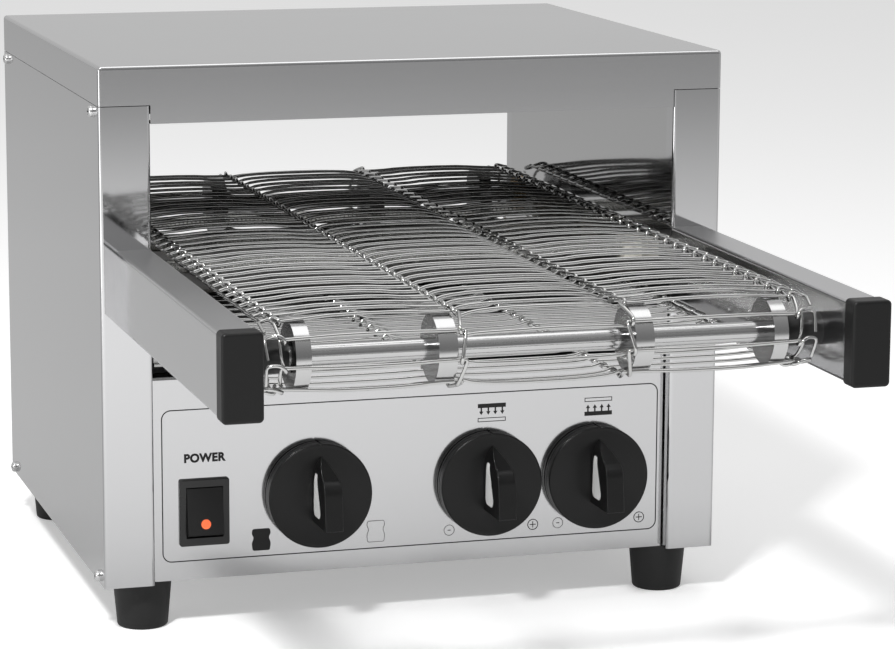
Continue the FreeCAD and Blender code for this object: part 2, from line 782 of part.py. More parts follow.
def gearmotor():
    """A gearbox with the motor's can behind it, in line with the output shaft."""
    x, y, z = gearbox_limits()
    axis = (y_rear - motor_inset, z_bottom + motor_height)
    case = rounded(box(x, y, z), bend, X)
    can = rod(motor_can_radius, (x[0] - motor_can_length, *axis), X, motor_can_length)
    bore = rod(motor_shaft_radius + running, (x[0] + gearbox_depth / 2, *axis), X, gearbox_depth)
    return case.fuse(can).cut(bore)


def motor_bracket():
    """A plate between the gearbox and the tunnel's side."""
    x, y, z = gearbox_limits()
    plate = box((x[1], tunnel_half), (y[0] - bracket_margin, y[1] + bracket_margin),
                (z[0] + bracket_margin, z[1] - bracket_margin))
    axis = (y_rear - motor_inset, z_bottom + motor_height)
    return plate.cut(rod(motor_shaft_radius + free_clearance, (x[1] - over, *axis), X, 3 * over))


def motor_shaft():
    x = gearbox_limits()[0]
    start = x[0] + gearbox_depth / 2 + shaft_end_gap
    end = sprocket_x() + sprocket_width + sprocket_hub / 2
    return rod(motor_shaft_radius, (start, y_rear - motor_inset, z_bottom + motor_height), X, end - start)


def knob_disc_body(x):
    """The turned part of a knob: a back ring, a groove and a slightly domed disc."""
    back = y_panel - knob_gap
    ring = rod(knob_radius, (x, back - knob_back_ring, z_knob), Y, knob_back_ring)
    neck = rod(knob_radius - knob_edge, (x, back - knob_back_ring - knob_groove, z_knob), Y, knob_groove)
    disc = rod(knob_radius, (x, y_disc_face, z_knob), Y, knob_disc)
    front = [e for e in disc.Edges if e.BoundBox.YMax < y_disc_face + knob_disc / 2
             and e.BoundBox.XLength > knob_radius]
    disc = disc.makeFillet(knob_edge, front)
    rim = knob_radius - 2 * knob_edge
    sphere = (rim ** 2 + knob_dome ** 2) / (2 * knob_dome)
    dome = Part.makeSphere(sphere, vector(x, y_disc_face - knob_dome + sphere, z_knob))
    dome = dome.common(rod(knob_radius, (x, y_disc_face - knob_dome - over, z_knob), Y, knob_dome + over))
    return ring.fuse([neck, disc, dome]).removeSplitter()


def bent(start, direction, end):
    """An arc from start to end that sets off along a direction."""
    chord = end - start
    along = FreeCAD.Vector(chord).normalize()
    side = (direction - along * direction.dot(along)).normalize()
    bulge = chord.Length / 2 * math.tan(chord.getAngle(direction) / 2)
    return Part.Arc(start, start + chord * 0.5 + side * bulge, end).toShape()


def grip_plan(x, inset):
    """The grip's outline from in front, pushed out from the disc: straight flanks and a pointed top."""
    base = y_disc_face + knob_disc / 2
    length = grip_tip - grip_shoulder
    flank_radius = (length ** 2 + grip_half_width ** 2) / (2 * grip_half_width)
    half = grip_half_width - inset
    rise = math.sqrt((flank_radius - inset) ** 2 - (flank_radius - grip_half_width) ** 2)
    bottom, shoulder = z_knob - grip_bottom, z_knob + grip_shoulder
    left, right = vector(x - half, base, bottom), vector(x + half, base, bottom)
    left_top, right_top = vector(x - half, base, shoulder), vector(x + half, base, shoulder)
    tip = vector(x, base, shoulder + rise)
    edges = [Part.makeLine(left, right), Part.makeLine(right, right_top), bent(right_top, vector(*Z), tip),
             bent(left_top, vector(*Z), tip), Part.makeLine(left_top, left)]
    wire_loop = Part.Wire(Part.__sortEdges__(edges))
    return Part.Face(wire_loop).extrude(vector(0, -knob_disc / 2 - grip_height, 0))


def grip(x):
    """The bar across the knob. Its front slopes down a little, then falls steeply to the tip."""
    base = y_disc_face + knob_disc / 2
    left = x - grip_half_width
    low = vector(left, y_disc_face - grip_height, z_knob - grip_bottom)
    brow = vector(left, y_disc_face - grip_brow_height, z_knob + grip_brow)
    tip = vector(left, y_disc_face - grip_tip_height, z_knob + grip_tip)
    back_low, back_tip = vector(left, base, low.z), vector(left, base, tip.z)
    profile = outline([back_low, low, brow, tip, back_tip], X, 2 * grip_half_width)
    profile = rounded(profile, grip_brow_radius, X, lambda m: (m - brow).Length < 2 * grip_half_width)
    bar = grip_plan(x, 0).common(profile)
    front = [e for e in bar.Edges if e.BoundBox.YMax < y_disc_face - grip_tip_height]
    return bar.makeFillet(grip_edge, front)


def inlay(x, side, clearance):
    """The tapered pale inlay in one flank of the grip, as deep as its pocket, which has no clearance."""
    middle, top_middle = y_disc_face - inlay_middle, y_disc_face - inlay_top_middle
    wide, narrow = inlay_wide - clearance, inlay_narrow - clearance
    low, high = z_knob - inlay_bottom + clearance, z_knob + inlay_top - clearance
    start = x + min(0, side * 2 * grip_half_width)
    body = outline([(start, middle - wide, low), (start, middle + wide, low),
                    (start, top_middle + narrow, high), (start, top_middle - narrow, high)], X,
                   2 * grip_half_width)
    body = rounded(body, inlay_corner - clearance, X, lambda m: m.z < z_knob)
    body = rounded(body, inlay_narrow / 2 - clearance, X, lambda m: m.z > z_knob)
    return grip_plan(x, 0).cut(grip_plan(x, inlay_depth)).common(body)


def knob(x):
    whole = knob_disc_body(x).fuse(grip(x)).removeSplitter()
    for side in (-1, 1):
        whole = whole.cut(inlay(x, side, 0))
    notch = rod(knob_notch_radius, (x, y_disc_face - over, z_knob + knob_radius), Y, 3 * over)
    back = y_panel - knob_gap
    socket = rod(control_shaft_radius, (x, back - control_shaft_in_knob, z_knob), Y,
                 control_shaft_in_knob + over)
    return whole.cut(notch).cut(socket)


def inlays(x):
    return Part.makeCompound([inlay(x, side, inlay_clearance) for side in (-1, 1)])


def control_shaft(x):
    start = y_panel - knob_gap - control_shaft_in_knob
    end = y_panel + sheet + control_shaft_in_body
    return rod(control_shaft_radius, (x, start, z_knob), Y, end - start)


def regulator(x):
    """The switch body behind the panel, with a bore that the control's shaft turns in."""
    width, depth, height = regulator_size
    body = box((x - width / 2, x + width / 2), (y_panel + sheet, y_panel + sheet + depth),
               (z_knob - height / 2, z_knob + height / 2))
    bore = rod(control_shaft_radius + running, (x, y_panel, z_knob), Y,
               sheet + control_shaft_in_body + bore_end_gap)
    return body.cut(bore)


def switch_housing_block(y_start, y_end):
    across = bezel_width / 2 - housing_margin
    up = bezel_height / 2 - housing_margin
    z = z_bottom + switch_height
    return box((switch_x - across, switch_x + across), (y_start, y_end), (z - up, z + up))


def rocker_pivot_place():
    return y_panel - bezel_depth + rocker_sink + rocker_pivot, z_bottom + switch_height


def switch_body():
    """The bezel on the panel's face and the housing through it, open in front for the rocker."""
    z = z_bottom + switch_height
    bezel = box((switch_x - bezel_width / 2, switch_x + bezel_width / 2), (y_panel - bezel_depth, y_panel),
                (z - bezel_height / 2, z + bezel_height / 2))
    bezel = rounded(bezel, bezel_corner, Y)
    front = [e for e in bezel.Edges if e.BoundBox.YMax < y_panel - bezel_depth / 2]
    bezel = bezel.makeFillet(bezel_depth / 3, front)
    whole = bezel.fuse(switch_housing_block(y_panel, y_panel + housing_depth)).removeSplitter()
    across = rocker_width / 2 + rocker_gap
    up = rocker_radius + rocker_gap
    pivot_y, pivot_z = rocker_pivot_place()
    cavity = box((switch_x - across, switch_x + across),
                 (y_panel - bezel_depth - over, pivot_y + rocker_back + rocker_back_gap), (z - up, z + up))
    whole = whole.cut(cavity)
    reach = rocker_width / 2 + pin_length + pin_shake
    return whole.cut(rod(pin_radius + running, (switch_x - reach, pivot_y, pivot_z), X, 2 * reach))


def rocker_slope():
    return math.tan(math.radians(rocker_tilt / 2))


def rocker_block(x, width):
    """The rocker before its round ends: its flat face leans out towards the lower end by half the tilt."""
    y, z = rocker_pivot_place()
    face = y - rocker_pivot
    lean = 2 * rocker_radius * rocker_slope()
    points = [(x, face, z + rocker_radius), (x, face - lean, z - rocker_radius),
              (x, y + rocker_back, z - rocker_radius), (x, y + rocker_back, z + rocker_radius)]
    return outline(points, X, width)


def switch_rocker():
    """The rocker: its ends are arcs about the pins, so that it turns in a straight opening."""
    y, z = rocker_pivot_place()
    left = switch_x - rocker_width / 2
    body = rocker_block(left, rocker_width).common(rod(rocker_radius, (left, y, z), X, rocker_width))
    reach = rocker_width / 2 + pin_length
    body = body.fuse(rod(pin_radius, (switch_x - reach, y, z), X, 2 * reach)).removeSplitter()
    return body.cut(lens_solid(0, over))


def lens_solid(shrink, proud):
    """The lens, or with proud above 0 the pocket for it, square to the rocker's face."""
    y, z = rocker_pivot_place()
    inward = vector(0, 1, -rocker_slope()).normalize()
    below_end = rocker_radius + lens_height
    surface = vector(switch_x, y - rocker_pivot - below_end * rocker_slope(), z - lens_height)
    start = surface - inward * proud
    return Part.makeCylinder(lens_radius - shrink, lens_depth + proud, start, inward)


def cable_gland():
    """A gland through the rear panel with its nut inside. The cord itself isn't part of the model."""
    z = z_bottom + gland_height
    body = rod(gland_radius - running, (gland_x, y_rear_panel - sheet - gland_reach, z), Y,
               sheet + 2 * gland_reach)
    nut = rod(gland_nut_radius, (gland_x, y_rear_panel - sheet - gland_reach / 2, z), Y, gland_reach / 2)
    collar = rod(gland_nut_radius, (gland_x, y_rear_panel, z), Y, gland_reach / 2)
    bore = rod(gland_bore, (gland_x, y_rear_panel - 3 * over, z), Y, 6 * over)
    return body.fuse([nut, collar]).removeSplitter().cut(bore)


def terminal_block():
    width, depth, height = terminal_size
    y = y_rear_panel - panel_flange - depth
    body = box((gland_x - width / 2, gland_x + width / 2), (y, y + depth),
               (z_bottom + sheet, z_bottom + sheet + height))
    for number in range(terminal_poles):
        x = gland_x + (number - (terminal_poles - 1) / 2) * width / (terminal_poles + 1)
        body = body.cut(rod(screw_radius, (x, y + depth / 2, z_bottom + sheet + height / 2), Z, height))
    return body


save("hood", hood())
panel_right = side_panel()
save("side_panel_right", panel_right)
save("side_panel_left", mirrored(panel_right))
save("inner_wall_right", inner_wall(True))
save("inner_wall_left", inner_wall(False))
save("base_pan", base_pan())
save("control_panel", control_panel())
save("rear_panel", rear_panel())
save("compartment_top", compartment_top())
save("crumb_tray", crumb_tray())
save("exit_chute", exit_chute())
save("upper_reflector", upper_reflector())
save("lower_reflector", lower_reflector())
save("insulation_blanket", insulation_blanket())
save("upper_heating_tubes", heating_tubes(upper_tube_places()))
save("upper_tube_holders", tube_holders(upper_tube_places()))
save("lower_heating_tubes", heating_tubes(lower_tube_places()))
save("lower_tube_holders", tube_holders(lower_tube_places()))
rail_right = rail()
save("rail_right", rail_right)
save("rail_left", mirrored(rail_right))
cap_right = rail_cap()
save("rail_cap_right", cap_right)
save("rail_cap_left", mirrored(cap_right))
save("rail_bolts", rail_bolts())
save("belt_upper_run", belt_run(True))
save("belt_lower_run", belt_run(False))
save("belt_front_turn", belt_turn(True))
save("belt_rear_turn", belt_turn(False))
save("idler_shaft", idler_shaft())
save("idler_discs", discs(y_idler, False))
save("idler_bearings", idler_bearings())
save("drive_shaft", drive_shaft())
save("drive_discs", discs(y_drive, True))
save("drive_bearings", drive_bearings())
save("shaft_sprocket", sprocket(drive_sprocket_teeth, shaft_radius, y_drive, z_axis))
save("motor_sprocket", sprocket(motor_sprocket_teeth, motor_shaft_radius, y_rear - motor_inset,
                                z_bottom + motor_height))
save("drive_chain", drive_chain())
save("gearmotor", gearmotor())
save("motor_shaft", motor_shaft())
save("motor_bracket", motor_bracket())
for control, place in knob_x.items():
    save(control + "_knob", knob(place))
    save(control + "_knob_inlays", inlays(place))
    save(control + "_shaft", control_shaft(place))
    save(control + "_regulator", regulator(place))
save("switch_body", switch_body())
save("switch_rocker", switch_rocker())
save("switch_lens", lens_solid(lens_clearance, 0))
save("cable_gland", cable_gland())
save("terminal_block", terminal_block())
save("feet", feet())
save("foot_screws", foot_screws())
save("case_screws", case_screws())
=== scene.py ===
import math

import bmesh
import bpy
from mathutils import Matrix, Vector


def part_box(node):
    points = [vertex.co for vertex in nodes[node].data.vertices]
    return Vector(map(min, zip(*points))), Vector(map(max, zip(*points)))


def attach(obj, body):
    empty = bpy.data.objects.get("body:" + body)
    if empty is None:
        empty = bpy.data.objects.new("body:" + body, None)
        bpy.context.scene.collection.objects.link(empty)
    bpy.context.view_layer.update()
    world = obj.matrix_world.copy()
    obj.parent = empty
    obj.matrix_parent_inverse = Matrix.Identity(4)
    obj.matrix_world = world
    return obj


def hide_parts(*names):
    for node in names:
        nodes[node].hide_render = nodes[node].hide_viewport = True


# A countertop conveyor toaster dressed over its solid model: the bent wires of the belt, the panel's print,
# the coils in the heating tubes, and the finishes. Metres, with the front facing -Y and +Z up.

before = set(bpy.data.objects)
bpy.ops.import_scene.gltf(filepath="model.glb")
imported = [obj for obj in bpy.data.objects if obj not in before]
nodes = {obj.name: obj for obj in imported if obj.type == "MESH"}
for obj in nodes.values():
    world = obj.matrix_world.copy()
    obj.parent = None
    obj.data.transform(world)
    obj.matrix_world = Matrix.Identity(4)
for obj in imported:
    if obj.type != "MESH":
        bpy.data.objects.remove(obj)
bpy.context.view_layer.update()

# Places taken from the solid model
run_low, run_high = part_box("belt_upper_run")
lower_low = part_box("belt_lower_run")[0]
panel_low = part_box("control_panel")[0]
wire = run_high.z - run_low.z                    # diameter of the belt's wire
y_idler, y_drive = run_low.y, run_high.y
z_axis = (run_high.z + lower_low.z) / 2
belt_radius = (run_high.z - lower_low.z - wire) / 2   # from a roller's axis to the middle of the wires
z_case = panel_low.z                             # underside of the case
y_print = panel_low.y                            # face of the control panel

# The wire belt
strands = 74
first_strand_share = 0.28    # of one pitch: where the first strand lies behind the drive roller's top
run_length = y_drive - y_idler
turn_length = math.pi * belt_radius
strand_pitch = 2 * (run_length + turn_length) / strands
lane_edge = 0.0515           # the Z bends run beside the inner discs
belt_edge = 0.1665           # the strands turn here, beside the outer discs
disc_inside, disc_outside = 0.070, 0.147
wire_sides_step = 2          # rounds the wire's section

# How the strands stray from straight lines
strand_bow = 0.0018          # how far a strand stands out in the middle of its lane
low_bow_share = 0.3          # what is left of that on the lower run
least_bow_share, most_bow_share = 0.75, 1.25
half_bow_share = 0.9         # of the bow, halfway from the belt's middle to the first Z bend
bow_inset_share = 0.2        # of an outer lane: where the bow begins and ends in it
strand_wander = 0.0012       # how far a strand strays along the belt in the middle of its lane
bow_step_share, wander_step_share = 0.618, 0.754   # from strand to strand, so that neighbours differ

# A strand's bends, in wire diameters: across, along the belt, out of it. "Along" starts at the strand's own
# line before the pitch mark, and at the next strand's line after it.
z_bend_start_shares = ((0.9, 0, 0), (0, 0, 0), (0.1, 1.3, 0.25))
z_bend_end_shares = ((1.45, -1.2, 1.0), (1.6, 0, 1.15), (1.6, 1.1, 0.5), (0.6, 1.1, -0.85),
                     (-0.7, 1.1, -0.85), (-2.8, 1.1, 0.1))
hook_start_shares = ((-0.9, 0, -0.45), (0, 0, -0.5), (0, 1.2, -0.6))
hook_end_shares = ((-0.4, -1.6, -1.2), (-1.2, 0, -1.6), (-1.4, 1.1, -1.0), (-1.4, 1.1, 0.1),
                   (-1.0, 0.1, 0.6), (0.2, -0.9, 0.45), (1.5, -1.0, 0), (3.0, -0.85, -0.4),
                   (3.75, -0.35, -0.5), (3.85, 0.9, -0.5), (3.4, 5.6, -0.5))

# The panel's print: places across from the middle, and above the underside of the case
ink_depth = 0.00005
frame_line = (-0.178, 0.0128, 0.1804, 0.1193)
frame_corner = 0.0065
frame_width = 0.0008
word_place = (-0.1482, 0.0823)
word_height, word_stretch, word_weight = 0.0080, 0.98, 0.052
word_spacing = 1.08
dark_toast = (-0.1087, 0.0248)
pale_toast = (-0.0269, 0.0251)
toast_width, toast_height = 0.0135, 0.0155
toast_corner = 0.0013
toast_line = 0.00055
# The right side of a slice from the bottom up: shares of its half width and half height
toast_side_shares = ((0.90, -1.0), (1.0, -0.34), (0.78, 0.22), (1.0, 0.52), (0.92, 1.0))
heat_marks = {"top": (0.0571, 0.1047), "bottom": (0.1358, 0.1047)}
mark_width, mark_bar, mark_reach = 0.0205, 0.0030, 0.0050
mark_line = 0.00055
arrows = 4
arrow_stem, arrow_head, arrow_length = 0.0011, 0.0016, 0.0050   # the head's half width
minus_marks = ((0.0264, 0.0222), (0.1066, 0.0221))
plus_marks = ((0.0880, 0.0222), (0.1674, 0.0223))
sign_radius, sign_line, sign_arm = 0.0040, 0.0006, 0.0023
corner_steps, ring_steps = 6, 32

# The coils in the heating tubes
tube_counts = {"upper_heating_tubes": 4, "lower_heating_tubes": 3}
coil_radius = 0.0026
coil_wire = 0.0007
coil_pitch = 0.0032
coil_steps = 8
coil_end_gap = 0.012

# Floor, surroundings and light. The greys are what metal sees, by a direction or a place along an axis.
room_light = 0.56            # what the room gives to matt surfaces, as a share of what metal sees of it
room_by_height = ((-0.3, 0.78), (0.1, 0.82), (0.5, 0.92), (1.0, 1.0))
room_by_depth = ((-1.0, 0.34), (-0.5, 0.56), (-0.1, 0.90), (0.5, 0.86), (1.0, 0.75))
floor_by_depth = ((-3.0, 0.58), (-1.9, 0.82), (-1.2, 0.96), (-0.3, 0.86), (0.2, 0.46), (0.7, 0.54),
                  (1.6, 0.64), (2.5, 0.68))
floor_reach = 20.0
floor_glow = 0.34            # the floor's own light, which keeps it pale beside the shadow
floor_grey = 0.88
camera_angles = (-16.82, 10.58, 0.27)    # azimuth, elevation and roll in degrees
camera_place = (-0.630, -2.18676, 0.6252)
camera_lens, camera_sensor = 133.8, 36.0   # millimetres

scene = bpy.context.scene
scene.view_settings.view_transform = "Standard"


def linked(name, mesh, material, body):
    """A new piece from a mesh, with its finish, riding on a body of the model."""
    for polygon in mesh.polygons:
        polygon.use_smooth = True
    piece = bpy.data.objects.new(name, mesh)
    scene.collection.objects.link(piece)
    mesh.materials.clear()
    mesh.materials.append(material)
    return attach(piece, body)


# Parts of shaders
def feed(tree, socket, value):
    """Gives a socket its value: another socket, a number or a colour."""
    if isinstance(value, bpy.types.NodeSocket):
        tree.links.new(value, socket)
    else:
        socket.default_value = value


def math_node(tree, operation, first, second=0.0):
    """One sum of two values, each a socket or a number."""
    node = tree.nodes.new("ShaderNodeMath")
    node.operation = operation
    feed(tree, node.inputs[0], first)
    feed(tree, node.inputs[1], second)
    return node.outputs[0]


def mixed_colour(tree, factor, first, second, blend="MIX"):
    """One colour from two, each a socket or a colour, by a factor."""
    mix = tree.nodes.new("ShaderNodeMix")
    mix.data_type = "RGBA"
    mix.blend_type = blend
    feed(tree, mix.inputs["Factor"], factor)
    feed(tree, mix.inputs[6], first)      # A and B of the colours have no names of their own
    feed(tree, mix.inputs[7], second)
    return mix.outputs[2]


def noise_at(tree, place, scale, detail):
    """A noise pattern read at a place, from 0 to 1."""
    node = tree.nodes.new("ShaderNodeTexNoise")
    node.inputs["Detail"].default_value = detail
    feed(tree, node.inputs["Scale"], scale)
    feed(tree, node.inputs["Vector"], place)
    return node.outputs["Fac"]


def object_place(tree):
    return tree.nodes.new("ShaderNodeTexCoord").outputs["Object"]


def along_axes(tree, vector):
    """A vector's parts along X, Y and Z."""
    parts = tree.nodes.new("ShaderNodeSeparateXYZ")
    tree.links.new(vector, parts.inputs[0])
    return parts.outputs


def ramp(tree, value, stops):
    """Grey by a value, through stops of (value, grey) from the lowest value to the highest."""
    low, high = stops[0][0], stops[-1][0]
    spread = tree.nodes.new("ShaderNodeMapRange")
    spread.inputs["From Min"].default_value = low
    spread.inputs["From Max"].default_value = high
    tree.links.new(value, spread.inputs["Value"])
    shades = tree.nodes.new("ShaderNodeValToRGB")
    elements = shades.color_ramp.elements
    while len(elements) < len(stops):
        elements.new(0.5)
    for element, (place, grey) in zip(elements, stops):
        element.position = (place - low) / (high - low)
        element.color = (grey, grey, grey, 1)
    tree.links.new(spread.outputs["Result"], shades.inputs["Fac"])
    return shades.outputs["Color"]


def group_node(tree, group, **values):
    """A shader group in a material, with values on its sockets."""
    node = tree.nodes.new("ShaderNodeGroup")
    node.node_tree = group
    for label, value in values.items():
        node.inputs[label].default_value = value
    return node


# Shader groups shared by the finishes
def shader_group(name, inputs, outputs):
    """An empty group with its sockets: the tree, its input node and its output node."""
    tree = bpy.data.node_groups.new(name, "ShaderNodeTree")
    for label, kind, value in inputs:
        socket = tree.interface.new_socket(name=label, in_out="INPUT", socket_type=kind)
        socket.default_value = value
    for label in outputs:
        tree.interface.new_socket(name=label, in_out="OUTPUT", socket_type="NodeSocketFloat")
    return tree, tree.nodes.new("NodeGroupInput"), tree.nodes.new("NodeGroupOutput")


def rough_by(tree, start, end, uneven):
    """Spreads a group's roughness by an uneven value around 0."""
    spread = math_node(tree, "MULTIPLY", uneven, start.outputs["Spread"])
    tree.links.new(math_node(tree, "ADD", start.outputs["Roughness"], spread), end.inputs["Roughness"])


def brushed_group():
    """Fine lines along one direction and slow unevenness, for brushed and rolled sheet."""
    tree, start, end = shader_group(
        "Brushed lines",
        (("Stretch", "NodeSocketVector", (10, 1500, 1500)), ("Roughness", "NodeSocketFloat", 0.2),
         ("Spread", "NodeSocketFloat", 0.05)),
        ("Roughness", "Height"))
    place = object_place(tree)
    mapping = tree.nodes.new("ShaderNodeMapping")
    tree.links.new(place, mapping.inputs["Vector"])
    tree.links.new(start.outputs["Stretch"], mapping.inputs["Scale"])
    lines = noise_at(tree, mapping.outputs["Vector"], scale=1.0, detail=3.0)
    clouds = noise_at(tree, place, scale=7.0, detail=2.0)
    rough_by(tree, start, end, math_node(tree, "SUBTRACT", math_node(tree, "ADD", lines, clouds), 1.0))
    tree.links.new(lines, end.inputs["Height"])
    return tree


def turned_group():
    """Rings round an axis along X, as a lathe leaves them on faces and rims."""
    tree, start, end = shader_group(
        "Turned rings",
        (("Axis", "NodeSocketVector", (0, 0, 0)), ("Roughness", "NodeSocketFloat", 0.25),
         ("Spread", "NodeSocketFloat", 0.1)),
        ("Roughness", "Height"))
    away = tree.nodes.new("ShaderNodeVectorMath")
    away.operation = "SUBTRACT"
    tree.links.new(object_place(tree), away.inputs[0])
    tree.links.new(start.outputs["Axis"], away.inputs[1])
    parts = along_axes(tree, away.outputs[0])
    squares = [math_node(tree, "MULTIPLY", parts[label], parts[label]) for label in "YZ"]
    radius = math_node(tree, "SQRT", math_node(tree, "ADD", *squares))
    joined = tree.nodes.new("ShaderNodeCombineXYZ")
    tree.links.new(parts["X"], joined.inputs["X"])
    tree.links.new(radius, joined.inputs["Y"])
    rings = noise_at(tree, joined.outputs[0], scale=2600.0, detail=2.0)
    rough_by(tree, start, end, math_node(tree, "SUBTRACT", rings, 0.5))
    tree.links.new(rings, end.inputs["Height"])
    return tree


def moulded_group():
    """The fine pebble of moulded plastic, rubber, ceramic and castings."""
    tree, start, end = shader_group(
        "Moulded pebble",
        (("Size", "NodeSocketFloat", 1500.0), ("Roughness", "NodeSocketFloat", 0.4),
         ("Spread", "NodeSocketFloat", 0.05)),
        ("Roughness", "Height"))
    place = object_place(tree)
    pebble = noise_at(tree, place, scale=start.outputs["Size"], detail=2.0)
    clouds = noise_at(tree, place, scale=25.0, detail=2.0)
    rough_by(tree, start, end, math_node(tree, "SUBTRACT", clouds, 0.5))
    tree.links.new(pebble, end.inputs["Height"])
    return tree


def heat_tint_and_shade_group():
    """How far a sheet is turned brown by heat and darkened with painted shade: not at all in front of a place
    along Y, and fully behind it.
    """
    tree, start, end = shader_group(
        "Heat tint and painted shade",
        (("Start", "NodeSocketFloat", -0.024), ("Length", "NodeSocketFloat", 0.03),
         ("Unevenness", "NodeSocketFloat", 0.02)),
        ("Tint",))
    place = object_place(tree)
    along = along_axes(tree, place)["Y"]
    clouds = noise_at(tree, place, scale=30.0, detail=3.0)
    uneven = math_node(tree, "ADD", along, math_node(tree, "MULTIPLY", clouds, start.outputs["Unevenness"]))
    behind = math_node(tree, "SUBTRACT", uneven, start.outputs["Start"])
    share = math_node(tree, "DIVIDE", behind, start.outputs["Length"])
    share.node.use_clamp = True
    tree.links.new(share, end.inputs["Tint"])
    return tree


def side_group():
    """How far a face looks along X: 1 on side faces, and 0 above, below, in front and behind."""
    tree, start, end = shader_group(
        "Side faces", (("From", "NodeSocketFloat", 0.6), ("Fade", "NodeSocketFloat", 0.3)), ("Side",))
    facing = tree.nodes.new("ShaderNodeTexCoord").outputs["Normal"]
    across = math_node(tree, "ABSOLUTE", along_axes(tree, facing)["X"])
    past = math_node(tree, "SUBTRACT", across, start.outputs["From"])
    share = math_node(tree, "DIVIDE", past, start.outputs["Fade"])
    share.node.use_clamp = True
    tree.links.new(share, end.inputs["Side"])
    return tree


BRUSHED, TURNED, MOULDED, HEAT_TINT_AND_SHADE, SIDE = (brushed_group(), turned_group(), moulded_group(), heat_tint_and_shade_group(),
                                        side_group())


# Finishes
def plain(name, colour, roughness, metallic=0.0, specular=0.5, coat=0.0):
    """A material with plain values on its sockets."""
    made = bpy.data.materials.new(name)
    made.use_nodes = True
    skin = made.node_tree.nodes["Principled BSDF"]
    skin.inputs["Base Color"].default_value = (*colour, 1)
    skin.inputs["Roughness"].default_value = roughness
    skin.inputs["Metallic"].default_value = metallic
    skin.inputs["Specular IOR Level"].default_value = specular
    skin.inputs["Coat Weight"].default_value = coat
    return made


def patterned(made, group, depth, **values):
    """Adds a group's roughness and relief to a material. Depth is the relief's height in metres."""
    tree = made.node_tree
    skin = tree.nodes["Principled BSDF"]
    pattern = group_node(tree, group, **values)
    tree.links.new(pattern.outputs["Roughness"], skin.inputs["Roughness"])
    relief = tree.nodes.new("ShaderNodeBump")
    relief.inputs["Distance"].default_value = depth
    tree.links.new(pattern.outputs["Height"], relief.inputs["Height"])
    tree.links.new(relief.outputs["Normal"], skin.inputs["Normal"])
    return made


def two_toned(made, group, tone, other):
    """Mixes a material's colour from one tone to another by a group's mask."""
    tree = made.node_tree
    mask = group_node(tree, group)
    colour = mixed_colour(tree, mask.outputs[0], (*tone, 1), (*other, 1))
    tree.links.new(colour, tree.nodes["Principled BSDF"].inputs["Base Color"])
    return made


def steel(name, tone, roughness, spread, stretch, depth):
    made = plain(name, tone, roughness, metallic=1.0)
    return patterned(made, BRUSHED, depth, Stretch=stretch, Roughness=roughness, Spread=spread)


def heat_tinted_and_shaded(name, tone, browned_and_shaded):
    """Sheet that the heat has turned dark, with painted shade of the tunnel over it, except for its front
    edge.
    """
    made = steel(name, tone, roughness=0.34, spread=0.10, stretch=ALONG_X, depth=0.000006)
    return two_toned(made, HEAT_TINT_AND_SHADE, tone, browned_and_shaded)


def turned(name, tone, roughness, axis, painted_side_shade):
    """Lathe-turned steel, with painted shade that makes the faces of its discs darker than their rims."""
    made = plain(name, tone, roughness, metallic=1.0)
    patterned(made, TURNED, 0.000012, Axis=axis, Roughness=roughness, Spread=0.12)
    return two_toned(made, SIDE, tone, painted_side_shade)


def rolled_tube(name, tone, roughness, side_roughness):
    """A square steel tube: satin above and below, and polished on its side faces."""
    made = steel(name, tone, roughness, spread=0.06, stretch=ALONG_Y, depth=0.000002)
    tree = made.node_tree
    skin = tree.nodes["Principled BSDF"]
    mix = tree.nodes.new("ShaderNodeMix")
    tree.links.new(group_node(tree, SIDE).outputs[0], mix.inputs["Factor"])
    tree.links.new(skin.inputs["Roughness"].links[0].from_socket, mix.inputs["A"])
    mix.inputs["B"].default_value = side_roughness
    tree.links.new(mix.outputs[0], skin.inputs["Roughness"])
    return made


def moulded(name, tone, roughness, size=1500.0, depth=0.00003, spread=0.08, **plain_values):
    """Moulded or cast stuff. Size is that of its pebble, as a noise scale."""
    made = plain(name, tone, roughness, **plain_values)
    return patterned(made, MOULDED, depth, Size=size, Roughness=roughness, Spread=spread)


def quartz():
    made = plain("quartz", (0.94, 0.94, 0.92), 0.12)
    skin = made.node_tree.nodes["Principled BSDF"]
    skin.inputs["Transmission Weight"].default_value = 0.85
    skin.inputs["IOR"].default_value = 1.46
    return made


def lit_lens():
    made = moulded("lens_plastic", (0.80, 0.13, 0.04), 0.10, size=900.0, depth=0.0004, coat=1.0)
    skin = made.node_tree.nodes["Principled BSDF"]
    skin.inputs["Emission Color"].default_value = (1.0, 0.17, 0.05, 1)
    skin.inputs["Emission Strength"].default_value = 0.45
    return made


ALONG_X, ALONG_Y, ALONG_Z = (12, 1500, 1500), (1500, 12, 1500), (1500, 1500, 12)
CASE_TONE = (0.48, 0.48, 0.485)
SHEET_TONE = (0.45, 0.45, 0.45)
# The darker tone of the disc faces is painted shade: a dark reflection painted into their colour
ROLLER_TONE, ROLLER_SIDE_SHADE = (0.45, 0.45, 0.45), (0.14, 0.14, 0.14)
idler_axis, drive_axis = (0, y_idler, z_axis), (0, y_drive, z_axis)

